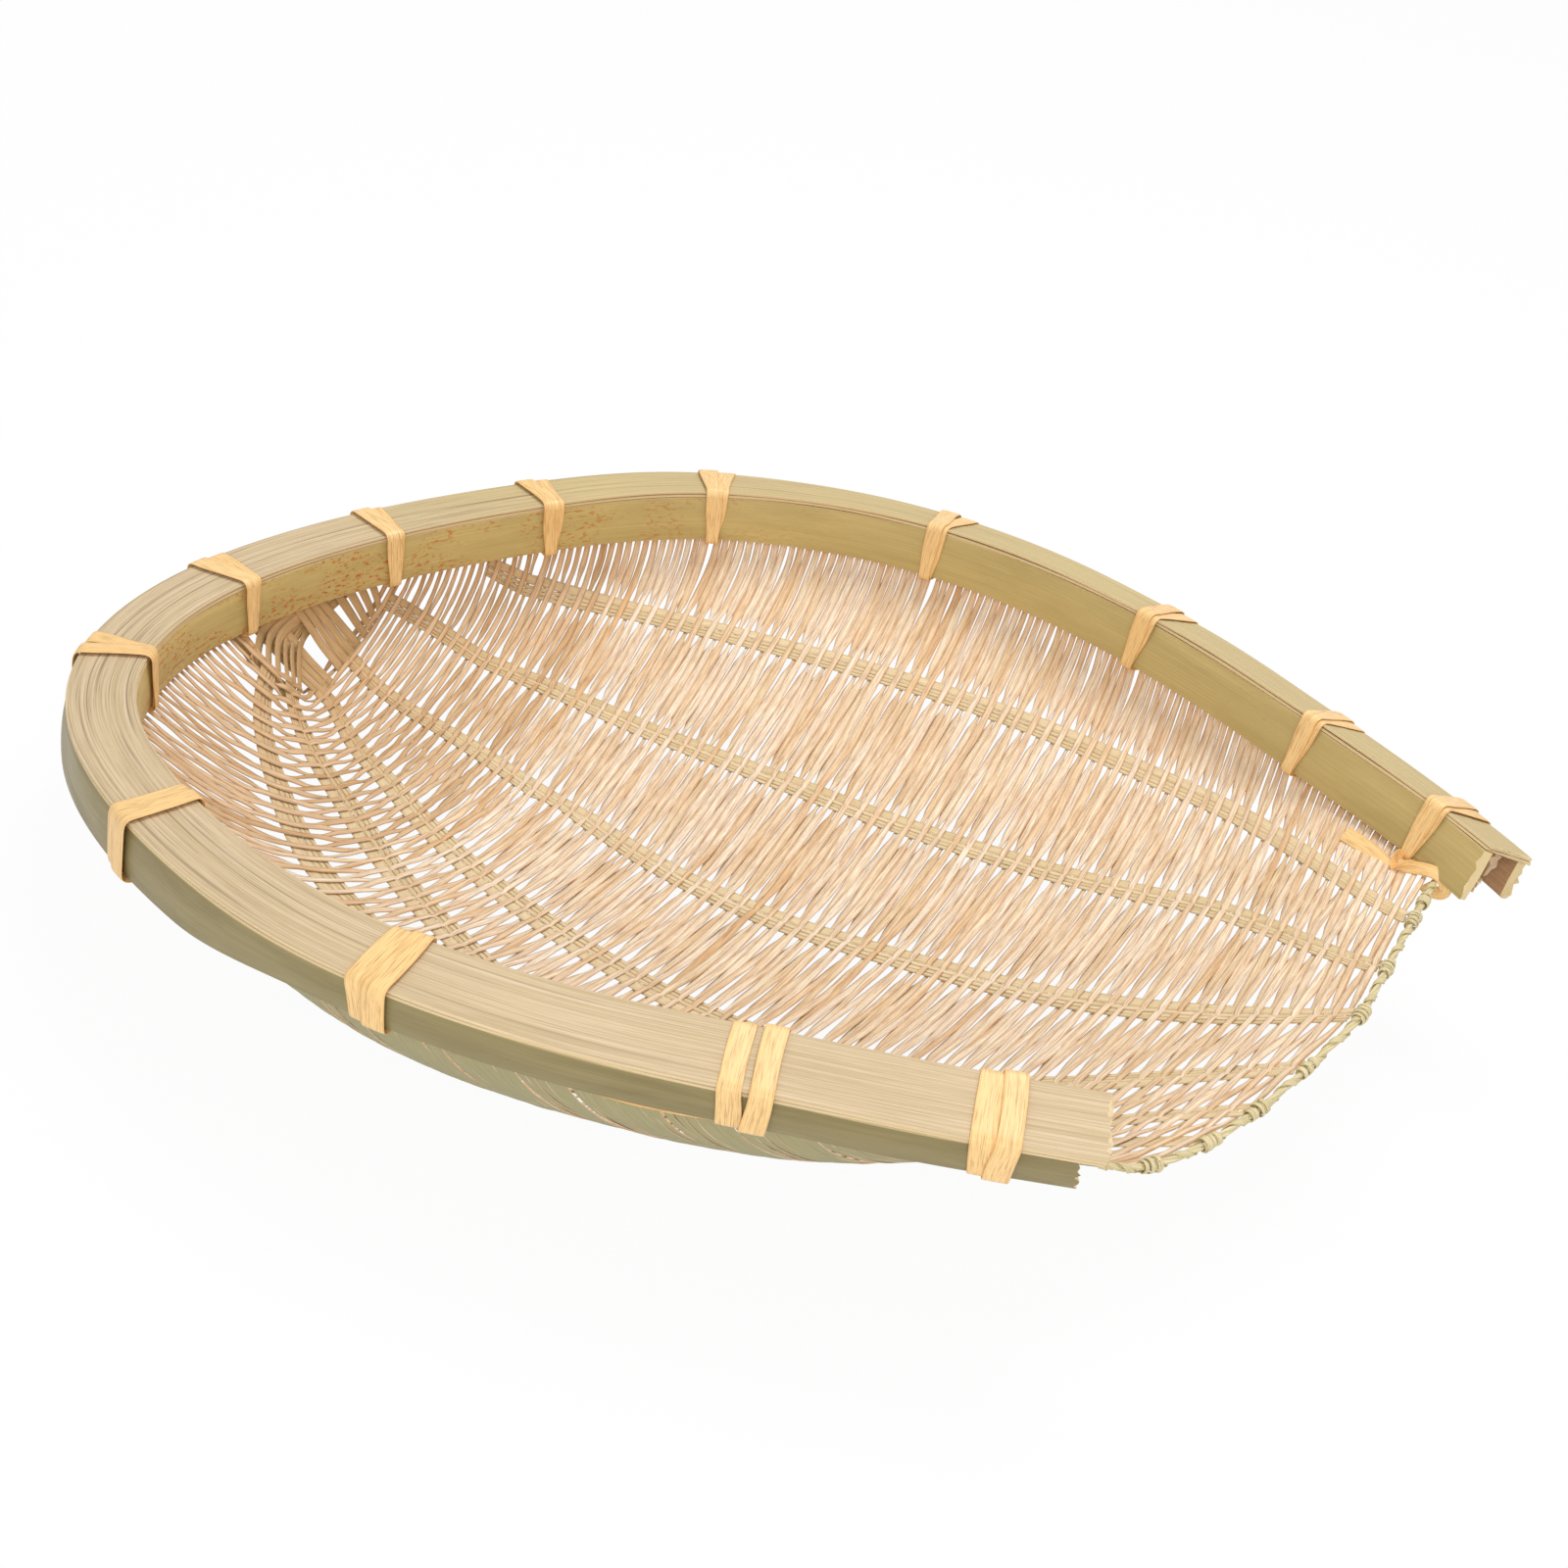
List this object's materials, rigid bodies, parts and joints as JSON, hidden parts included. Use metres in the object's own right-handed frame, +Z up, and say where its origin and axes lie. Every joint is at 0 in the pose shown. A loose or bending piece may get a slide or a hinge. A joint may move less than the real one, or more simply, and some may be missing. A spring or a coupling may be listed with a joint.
{
  "type": "winnowing basket",
  "caption": "Open-mouthed winnowing basket: a strip mat woven on flat ribs, held in a bent, lashed teardrop rim, with a flat belly and a rising floor.",
  "frame": {"origin": "centre of the bounding box in plan, at the height of the belly's underside, where the basket rests", "axes": "+X out of the open mouth, +Y to the left arm of the rim, +Z up"},
  "size_m": [0.507, 0.4422, 0.0923],
  "materials": {
    "hoop": "olive green bamboo skin, satin",
    "top_strip": "dry split bamboo, tan, matt",
    "core": "rough split bamboo, matt",
    "weft": "scraped bamboo strip, pale, matt",
    "rib": "bamboo strip, greenish beige, matt",
    "lashing": "yellow bamboo strip, satin"
  },
  "bodies": {
    "root": {"core_strip": "core", "edge_rib_left": "rib", "edge_rib_right": "rib", "inner_hoop": "hoop", "lashing_01": "lashing", "lashing_02": "lashing", "lashing_03": "lashing", "lashing_04": "lashing", "lashing_05": "lashing", "lashing_06": "lashing", "lashing_07": "lashing", "lashing_08": "lashing", "lashing_09": "lashing", "lashing_10": "lashing", "lashing_11": "lashing", "lashing_12": "lashing", "lashing_13": "lashing", "lashing_end_loop": "lashing", "lashing_knot": "lashing", "lashing_runs": "lashing", "lashing_tail": "lashing", "mouth_edge_rod": "rib", "mouth_edge_turns": "rib", "outer_hoop": "hoop", "rib_left_inner": "rib", "rib_left_middle": "rib", "rib_left_outer": "rib", "rib_right_inner": "rib", "rib_right_middle": "rib", "rib_right_outer": "rib", "top_strip_lower": "top_strip", "top_strip_upper": "top_strip", "wefts_01": "weft", "wefts_02": "weft", "wefts_03": "weft", "wefts_04": "weft", "wefts_05": "weft", "wefts_06": "weft", "wefts_07": "weft", "wefts_08": "weft", "wefts_09": "weft", "wefts_10": "weft", "wefts_11": "weft", "wefts_12": "weft", "wefts_13": "weft", "wefts_14": "weft"}
  },
  "joints": []
}
